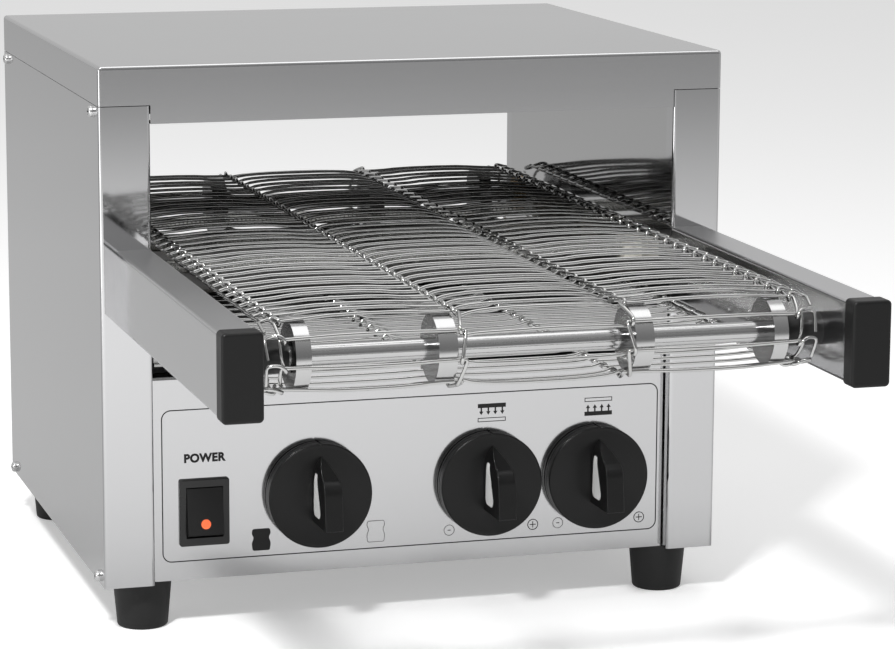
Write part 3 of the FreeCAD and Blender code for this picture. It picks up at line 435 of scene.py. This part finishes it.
dressed = {
    steel("case_steel_across", CASE_TONE, roughness=0.13, spread=0.04, stretch=ALONG_X, depth=0.000003): (
        "hood", "control_panel", "rear_panel"),
    steel("case_steel_upright", CASE_TONE, roughness=0.06, spread=0.02, stretch=ALONG_Z, depth=0.000001): (
        "side_panel_left", "side_panel_right"),
    steel("polished_steel", (0.46, 0.46, 0.46), roughness=0.06, spread=0.02, stretch=ALONG_Y,
          depth=0.000002): ("inner_wall_left", "inner_wall_right"),
    steel("inner_sheet", SHEET_TONE, roughness=0.28, spread=0.10, stretch=ALONG_X, depth=0.000006): (
        "base_pan", "exit_chute"),
    # Near black behind the front edge: partly heat tint, partly painted shade of the tunnel's inside, which
    # the belt's wires also mirror
    heat_tinted_and_shaded("heat_tinted_and_shaded_sheet", SHEET_TONE, (0.060, 0.056, 0.052)): (
        "compartment_top", "crumb_tray", "upper_reflector", "lower_reflector"),
    rolled_tube("rail_steel", (0.50, 0.50, 0.505), 0.38, 0.18): ("rail_left", "rail_right"),
    turned("front_roller_steel", ROLLER_TONE, 0.16, idler_axis, ROLLER_SIDE_SHADE): (
        "idler_shaft", "idler_discs"),
    turned("drive_roller_steel", ROLLER_TONE, 0.20, drive_axis, ROLLER_SIDE_SHADE): (
        "drive_shaft", "drive_discs", "motor_shaft"),
    moulded("drive_steel", (0.30, 0.29, 0.28), 0.35, metallic=1.0): (
        "shaft_sprocket", "motor_sprocket", "drive_chain"),
    moulded("bush_plastic", (0.012, 0.012, 0.012), 0.45, specular=0.35): ("idler_bearings",),
    moulded("bush_bronze", (0.55, 0.36, 0.16), 0.32, metallic=1.0): ("drive_bearings",),
    moulded("cap_plastic", (0.008, 0.008, 0.008), 0.42, specular=0.22): ("rail_cap_left", "rail_cap_right"),
    quartz(): ("upper_heating_tubes", "lower_heating_tubes"),
    moulded("ceramic", (0.72, 0.69, 0.62), 0.6, size=900.0, depth=0.00006): (
        "upper_tube_holders", "lower_tube_holders"),
    moulded("mineral_wool", (0.62, 0.60, 0.52), 0.9, size=350.0, depth=0.0015): ("insulation_blanket",),
    moulded("motor_metal", (0.45, 0.46, 0.47), 0.38, size=700.0, depth=0.00008, metallic=1.0): ("gearmotor",),
    moulded("bracket_steel", (0.50, 0.51, 0.52), 0.30, metallic=1.0): (
        "motor_bracket", "rail_bolts", "foot_screws", "speed_shaft", "top_heat_shaft", "bottom_heat_shaft"),
    moulded("screw_steel", (0.62, 0.62, 0.62), 0.22, metallic=1.0): ("case_screws",),
    moulded("knob_plastic", (0.006, 0.006, 0.006), 0.34, specular=0.26): (
        "speed_knob", "top_heat_knob", "bottom_heat_knob"),
    moulded("inlay_plastic", (0.92, 0.92, 0.91), 0.18, size=400.0, depth=0.00001, coat=0.5): (
        "speed_knob_inlays", "top_heat_knob_inlays", "bottom_heat_knob_inlays"),
    moulded("regulator_plastic", (0.05, 0.03, 0.02), 0.5): (
        "speed_regulator", "top_heat_regulator", "bottom_heat_regulator"),
    moulded("switch_plastic", (0.010, 0.010, 0.010), 0.26, depth=0.00001, specular=0.4): (
        "switch_body", "switch_rocker"),
    lit_lens(): ("switch_lens",),
    moulded("gland_plastic", (0.012, 0.012, 0.012), 0.45): ("cable_gland",),
    moulded("terminal_plastic", (0.62, 0.60, 0.54), 0.4): ("terminal_block",),
    moulded("foot_rubber", (0.012, 0.012, 0.012), 0.55, size=900.0, depth=0.00006, specular=0.35): ("feet",),
}
for finish, names in dressed.items():
    for name in names:
        nodes[name].data.materials.clear()
        nodes[name].data.materials.append(finish)

belt_wire = moulded("belt_wire", (0.46, 0.46, 0.455), 0.12, size=900.0, depth=0.00001, metallic=1.0)
coil_steel = moulded("coil_steel", (0.30, 0.27, 0.25), 0.5, metallic=1.0)
black_ink = plain("black_ink", (0.010, 0.010, 0.010), 0.45, specular=0.3)
grey_ink = plain("grey_ink", (0.22, 0.22, 0.22), 0.45, specular=0.3)


# Bent wires
def mesh_of_curve(curve):
    """A curve's surface as a mesh. The curve is removed."""
    holder = bpy.data.objects.new(curve.name, curve)
    scene.collection.objects.link(holder)
    bpy.context.view_layer.update()
    mesh = bpy.data.meshes.new_from_object(holder)
    bpy.data.objects.remove(holder)
    bpy.data.curves.remove(curve)
    return mesh


def wire_mesh(name, lines, radius, sides_step, kind="NURBS"):
    """Wires that follow lines of points as one mesh. As NURBS, their bends are rounded."""
    curve = bpy.data.curves.new(name, "CURVE")
    curve.dimensions = "3D"
    curve.bevel_depth = radius
    curve.bevel_resolution = sides_step
    curve.use_fill_caps = True
    curve.resolution_u = 2
    for line in lines:
        spline = curve.splines.new(kind)
        spline.points.add(len(line) - 1)
        for point, place in zip(spline.points, line):
            point.co = (*place, 1)
        if kind == "NURBS":
            spline.order_u = 3
            spline.use_endpoint_u = True
    return mesh_of_curve(curve)


def on_belt(across, along, out):
    """The place of a point of the belt: across it, along its loop, and out from the middle of its wires."""
    along %= 2 * (run_length + turn_length)
    reach = belt_radius + out
    if along < run_length:
        return across, y_drive - along, z_axis + reach
    along -= run_length
    if along < turn_length:
        angle = along / belt_radius
        return across, y_idler - reach * math.sin(angle), z_axis + reach * math.cos(angle)
    along -= turn_length
    if along < run_length:
        return across, y_idler + along, z_axis - reach
    angle = (along - run_length) / belt_radius
    return across, y_drive + reach * math.sin(angle), z_axis - reach * math.cos(angle)


def bends(edge, line, shares):
    """Points of a bend, from a table in wire diameters at an edge across and a strand's line."""
    return [(edge + a * wire, line + b * wire, c * wire) for a, b, c in shares]


def half_strand(line, bow, wander):
    """One half of a strand, from the middle of the belt to its hook: across, along, out."""
    following = line + strand_pitch
    middle = following + z_bend_end_shares[-1][1] * wire
    points = [(0, middle - wander, bow), (lane_edge / 2, middle - wander / 2, bow * half_bow_share)]
    points += reversed(bends(lane_edge, following, z_bend_end_shares))
    points += reversed(bends(lane_edge, line, z_bend_start_shares))
    inset = (disc_outside - disc_inside) * bow_inset_share
    points += [(disc_inside, line, 0), (disc_inside + inset, line + wander, bow),
               (disc_outside - inset, line + wander, bow), (disc_outside, line, 0)]
    points += bends(belt_edge, line, hook_start_shares)
    points += bends(belt_edge, following, hook_end_shares)
    return points


def strand(number):
    """A whole strand, bent from one wire. Its bow and line differ a little from its neighbours'."""
    line = (number + first_strand_share) * strand_pitch
    below = run_length + turn_length < line < 2 * run_length + turn_length
    own_share = least_bow_share + (most_bow_share - least_bow_share) * (number * bow_step_share % 1)
    bow = strand_bow * own_share * (low_bow_share if below else 1)
    wander = strand_wander * (number * wander_step_share % 1 - 0.5)
    right = half_strand(line, bow, wander)
    left = [(-across, along, out) for across, along, out in half_strand(line, bow, -wander)[:0:-1]]
    return [on_belt(*point) for point in left + right]


belt_mesh = wire_mesh("wire_belt", [strand(number) for number in range(strands)], wire / 2, wire_sides_step)
wire_belt = linked("wire_belt", belt_mesh, belt_wire, "toaster_case")
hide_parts("belt_upper_run", "belt_lower_run", "belt_front_turn", "belt_rear_turn")


# Coils in the heating tubes
def tube_middles(node, count):
    """The axes of a row of tubes, spaced evenly along Y, and where the tubes end along X."""
    low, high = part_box(node)
    radius = (high.z - low.z) / 2
    step = (high.y - low.y - 2 * radius) / (count - 1)
    return [(low.y + radius + number * step, low.z + radius) for number in range(count)], high.x


def coil(y, z, reach):
    """Points of a coil round an axis along X, as far as a reach to each side."""
    turns = int(2 * reach / coil_pitch)
    points = []
    for number in range(turns * coil_steps + 1):
        angle = 2 * math.pi * number / coil_steps
        points.append((-reach + number * coil_pitch / coil_steps, y + coil_radius * math.cos(angle),
                       z + coil_radius * math.sin(angle)))
    return points


for node, count in tube_counts.items():
    middles, end = tube_middles(node, count)
    coils = [coil(y, z, end - coil_end_gap) for y, z in middles]
    mesh = wire_mesh(node + "_coils", coils, coil_wire / 2, 0, "POLY")
    linked(node + "_coils", mesh, coil_steel, "toaster_case")


# The panel's print
def printed(outline, corner=0.0, line=0.0):
    """One printed shape as a mesh: an outline filled with ink, or only its line of a given width."""
    bm = bmesh.new()
    bm.faces.new([bm.verts.new((x, z, 0)) for x, z in outline])
    if corner:
        bmesh.ops.bevel(bm, geom=bm.verts[:], offset=corner, segments=corner_steps, profile=0.5,
                        affect="VERTICES", clamp_overlap=True, material=-1)
    if line:
        bm.normal_update()
        filled = bm.faces[:]
        bmesh.ops.inset_individual(bm, faces=filled, thickness=line, use_even_offset=True)
        bmesh.ops.delete(bm, geom=filled, context="FACES")
    grown = bmesh.ops.extrude_face_region(bm, geom=bm.faces[:], use_keep_orig=True)
    raised = [item for item in grown["geom"] if isinstance(item, bmesh.types.BMVert)]
    bmesh.ops.translate(bm, vec=(0, 0, ink_depth), verts=raised)
    bmesh.ops.recalc_face_normals(bm, faces=bm.faces[:])
    mesh = bpy.data.meshes.new("printed")
    bm.to_mesh(mesh)
    bm.free()
    return mesh


def rectangle(low_x, low_z, high_x, high_z):
    return [(low_x, low_z), (high_x, low_z), (high_x, high_z), (low_x, high_z)]


def around(place, width, height):
    """A rectangle with its middle at a place."""
    x, z = place
    return rectangle(x - width / 2, z - height / 2, x + width / 2, z + height / 2)


def ring(place):
    """The circle round a plus or minus sign."""
    x, z = place
    turn = 2 * math.pi / ring_steps
    circle = [(x + sign_radius * math.cos(turn * n), z + sign_radius * math.sin(turn * n))
              for n in range(ring_steps)]
    return printed(circle, line=sign_line)


def toast_outline(place):
    """A slice of toast: two lobes at the top, a waist under them, and a body that widens again."""
    x, z = place
    half, up = toast_width / 2, toast_height / 2
    right = [(x + a * half, z + b * up) for a, b in toast_side_shares]
    left = [(x - a * half, z + b * up) for a, b in reversed(toast_side_shares)]
    return right + left


def word(text):
    """Upright lettering, centred over its place on its base line."""
    curve = bpy.data.curves.new(text, "FONT")
    curve.body = text
    curve.size = word_height
    curve.align_x = "CENTER"
    curve.space_character = word_spacing
    curve.offset = word_height * word_weight
    curve.extrude = ink_depth / 2
    mesh = mesh_of_curve(curve)
    stretch = Matrix.Diagonal((word_stretch, 1, 1, 1))
    mesh.transform(Matrix.Translation((*word_place, ink_depth / 2)) @ stretch)
    return mesh


def heat_mark(place, from_above):
    """A row of arrows between a dark heater bar and the outline of a slice, from above or from below."""
    x, z = place
    side = 1 if from_above else -1
    meshes = [printed(around((x, z + side * mark_reach), mark_width, mark_bar)),
              printed(around((x, z - side * mark_reach), mark_width, mark_bar), line=mark_line)]
    start = z + side * (mark_reach - mark_bar / 2)
    neck = start - side * arrow_length / 2
    for number in range(arrows):
        across = x + (number - (arrows - 1) / 2) * mark_width / arrows
        meshes.append(printed(rectangle(across - arrow_stem / 2, min(start, neck),
                                        across + arrow_stem / 2, max(start, neck))))
        tip = [(across - arrow_head, neck), (across + arrow_head, neck), (across, start - side * arrow_length)]
        meshes.append(printed(tip))
    return meshes


def print_piece(name, meshes, material):
    """All shapes of one ink as one piece on the panel's face."""
    bm = bmesh.new()
    for mesh in meshes:
        bm.from_mesh(mesh)
    upright = Matrix.Rotation(math.radians(90), 3, "X")
    bmesh.ops.rotate(bm, cent=(0, 0, 0), matrix=upright, verts=bm.verts[:])
    bmesh.ops.translate(bm, vec=(0, y_print, z_case), verts=bm.verts[:])
    whole = bpy.data.meshes.new(name)
    bm.to_mesh(whole)
    bm.free()
    linked(name, whole, material, "toaster_case")
    for polygon in whole.polygons:
        polygon.use_smooth = False


black_shapes = [printed(rectangle(*frame_line), frame_corner, frame_width), word("POWER"),
                printed(toast_outline(dark_toast), toast_corner)]
for kind, place in heat_marks.items():
    black_shapes += heat_mark(place, kind == "top")
for place in plus_marks:
    black_shapes += [ring(place), printed(around(place, 2 * sign_arm, sign_line)),
                     printed(around(place, sign_line, 2 * sign_arm))]
black_shapes += [printed(around(place, sign_arm, sign_line)) for place in minus_marks]
print_piece("black_print", black_shapes, black_ink)
grey_shapes = [printed(toast_outline(pale_toast), toast_corner, toast_line)]
grey_shapes += [ring(place) for place in minus_marks]
print_piece("grey_print", grey_shapes, grey_ink)


# Floor, surroundings and light
def surroundings():
    """White for the camera. Metal sees a room that is paler above and behind, and darker in front."""
    world = bpy.data.worlds.new("surroundings")
    scene.world = world
    world.use_nodes = True
    tree = world.node_tree
    tree.nodes.clear()
    path = tree.nodes.new("ShaderNodeLightPath")
    heading = along_axes(tree, tree.nodes.new("ShaderNodeTexCoord").outputs["Generated"])
    height = ramp(tree, heading["Z"], room_by_height)
    depth = ramp(tree, heading["Y"], room_by_depth)
    white = math_node(tree, "MAXIMUM", path.outputs["Is Camera Ray"], path.outputs["Is Transmission Ray"])
    mirrored = math_node(tree, "MAXIMUM", white, path.outputs["Is Glossy Ray"])
    level = math_node(tree, "ADD", math_node(tree, "MULTIPLY", mirrored, 1 - room_light), room_light)
    room = math_node(tree, "MULTIPLY", math_node(tree, "MULTIPLY", height, depth), level)
    back = tree.nodes.new("ShaderNodeBackground")
    tree.links.new(math_node(tree, "MAXIMUM", white, room), back.inputs["Color"])
    out = tree.nodes.new("ShaderNodeOutputWorld")
    tree.links.new(back.outputs[0], out.inputs["Surface"])


def floor_finish():
    """Matt with a glow of its own, so that it stays pale. Metal sees it darker far in front and behind."""
    made = bpy.data.materials.new("floor")
    made.use_nodes = True
    tree = made.node_tree
    tree.nodes.clear()
    path = tree.nodes.new("ShaderNodeLightPath")
    seen = ramp(tree, along_axes(tree, object_place(tree))["Y"], floor_by_depth)
    tone = mixed_colour(tree, path.outputs["Is Glossy Ray"], (1, 1, 1, 1), seen)
    direct = math_node(tree, "MAXIMUM", path.outputs["Is Camera Ray"], path.outputs["Is Glossy Ray"])
    direct = math_node(tree, "MAXIMUM", direct, path.outputs["Is Transmission Ray"])
    glow = tree.nodes.new("ShaderNodeEmission")
    tree.links.new(tone, glow.inputs["Color"])
    tree.links.new(math_node(tree, "MULTIPLY", direct, floor_glow), glow.inputs["Strength"])
    matt = tree.nodes.new("ShaderNodeBsdfDiffuse")
    dimmed = mixed_colour(tree, 1.0, tone, (floor_grey, floor_grey, floor_grey, 1), blend="MULTIPLY")
    tree.links.new(dimmed, matt.inputs["Color"])
    both = tree.nodes.new("ShaderNodeAddShader")
    tree.links.new(glow.outputs[0], both.inputs[0])
    tree.links.new(matt.outputs[0], both.inputs[1])
    out = tree.nodes.new("ShaderNodeOutputMaterial")
    tree.links.new(both.outputs[0], out.inputs["Surface"])
    return made


def floor():
    """A pale floor that keeps the shadow."""
    bm = bmesh.new()
    bmesh.ops.create_grid(bm, x_segments=1, y_segments=1, size=floor_reach)
    mesh = bpy.data.meshes.new("floor")
    bm.to_mesh(mesh)
    bm.free()
    ground = bpy.data.objects.new("floor", mesh)
    scene.collection.objects.link(ground)
    mesh.materials.append(floor_finish())


def lamp(name, place, target, size, power):
    """A square soft lamp that points at a target."""
    data = bpy.data.lights.new(name, "AREA")
    data.size = size
    data.energy = power
    made = bpy.data.objects.new(name, data)
    made.location = place
    made.rotation_mode = "QUATERNION"
    made.rotation_quaternion = (Vector(target) - Vector(place)).to_track_quat("-Z", "Y")
    made.visible_camera = False
    scene.collection.objects.link(made)


def camera():
    """The camera at the photograph's place and angle."""
    azimuth, elevation, roll = (math.radians(angle) for angle in camera_angles)
    back = Vector((math.sin(azimuth) * math.cos(elevation), -math.cos(azimuth) * math.cos(elevation),
                   math.sin(elevation)))
    level = Vector((0, 0, 1)).cross(back).normalized()
    rise = back.cross(level)
    right = level * math.cos(roll) + rise * math.sin(roll)
    top = rise * math.cos(roll) - level * math.sin(roll)
    data = bpy.data.cameras.new("camera")
    data.lens = camera_lens
    data.sensor_width = camera_sensor
    eye = bpy.data.objects.new("camera", data)
    stand = Matrix((right, top, back)).transposed().to_4x4()
    stand.translation = camera_place
    eye.matrix_world = stand
    scene.collection.objects.link(eye)
    scene.camera = eye


surroundings()
floor()
lamp("key", (-1.1, -1.6, 2.2), (0, 0, 0.2), size=0.30, power=66.0)
lamp("top", (0.3, 0.1, 2.4), (0, 0, 0.2), size=1.6, power=11.0)
lamp("left", (-1.5, -0.45, 0.28), (0, -0.05, 0.25), size=0.55, power=3.0)
camera()
